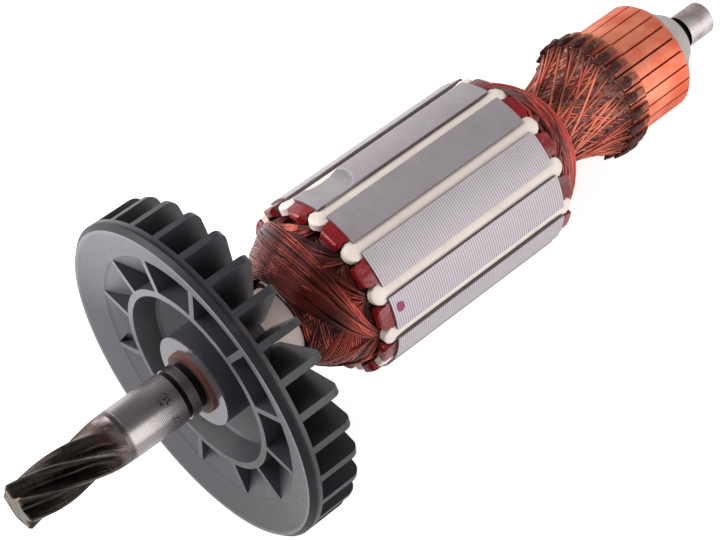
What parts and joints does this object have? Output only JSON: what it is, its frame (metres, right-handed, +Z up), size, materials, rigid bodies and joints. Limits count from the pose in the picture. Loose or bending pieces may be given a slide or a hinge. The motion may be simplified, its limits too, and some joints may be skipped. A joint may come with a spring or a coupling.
{
  "type": "motor armature",
  "caption": "Wound armature of a hand-held electric hammer motor: shaft with a helical pinion, cooling fan, slotted laminated core, lapped windings and a hook commutator.",
  "frame": {"origin": "centre of the footprint on the floor, under the armature as it lies at rest on two fan blades and the rim of the commutator", "axes": "+X from the pinion towards the commutator, along the floor; the shaft dips about 11 degrees below +X; +Z up"},
  "size_m": [0.1696, 0.0648, 0.0651],
  "materials": {
    "shaft_steel": "ground seats, oily pinion",
    "rusty_steel": "surface rust",
    "fan_plastic": "satin, lightly dusty",
    "cream_insulation": "satin",
    "core_steel": "stacked laminations",
    "red_insulation": "glossy",
    "liner": "varnished sheet",
    "enamelled_wire": "varnished enamel",
    "packing_cord": "varnished cord",
    "lead_wire": "varnished enamel",
    "bush_brass": "turned",
    "commutator_resin": "moulded",
    "collar_insulation": "smooth",
    "wedge_strip": "satin",
    "commutator_copper": "turned copper, hooks fused dark"
  },
  "bodies": {
    "root": {"shaft": "shaft_steel", "spacer_ring": "rusty_steel", "fan": "fan_plastic", "insulating_tube": "cream_insulation", "core_laminations": "core_steel", "drive_end_insulator": "red_insulation", "rear_end_insulator": "red_insulation", "slot_liners": "liner", "slot_conductors": "enamelled_wire", "drive_end_winding": "enamelled_wire", "rear_end_winding": "enamelled_wire", "lead_packing": "packing_cord", "commutator_leads": "lead_wire", "commutator_bush": "bush_brass", "commutator_moulding": "commutator_resin", "commutator_end_collar": "collar_insulation", "slot_wedge_01": "wedge_strip", "slot_wedge_02": "wedge_strip", "slot_wedge_03": "wedge_strip", "slot_wedge_04": "wedge_strip", "slot_wedge_05": "wedge_strip", "slot_wedge_06": "wedge_strip", "slot_wedge_07": "wedge_strip", "slot_wedge_08": "wedge_strip", "slot_wedge_09": "wedge_strip", "slot_wedge_10": "wedge_strip", "slot_wedge_11": "wedge_strip", "slot_wedge_12": "wedge_strip", "commutator_bar_01": "commutator_copper", "commutator_bar_02": "commutator_copper", "commutator_bar_03": "commutator_copper", "commutator_bar_04": "commutator_copper", "commutator_bar_05": "commutator_copper", "commutator_bar_06": "commutator_copper", "commutator_bar_07": "commutator_copper", "commutator_bar_08": "commutator_copper", "commutator_bar_09": "commutator_copper", "commutator_bar_10": "commutator_copper", "commutator_bar_11": "commutator_copper", "commutator_bar_12": "commutator_copper", "commutator_bar_13": "commutator_copper", "commutator_bar_14": "commutator_copper", "commutator_bar_15": "commutator_copper", "commutator_bar_16": "commutator_copper", "commutator_bar_17": "commutator_copper", "commutator_bar_18": "commutator_copper", "commutator_bar_19": "commutator_copper", "commutator_bar_20": "commutator_copper", "commutator_bar_21": "commutator_copper", "commutator_bar_22": "commutator_copper", "commutator_bar_23": "commutator_copper", "commutator_bar_24": "commutator_copper"}
  },
  "joints": []
}
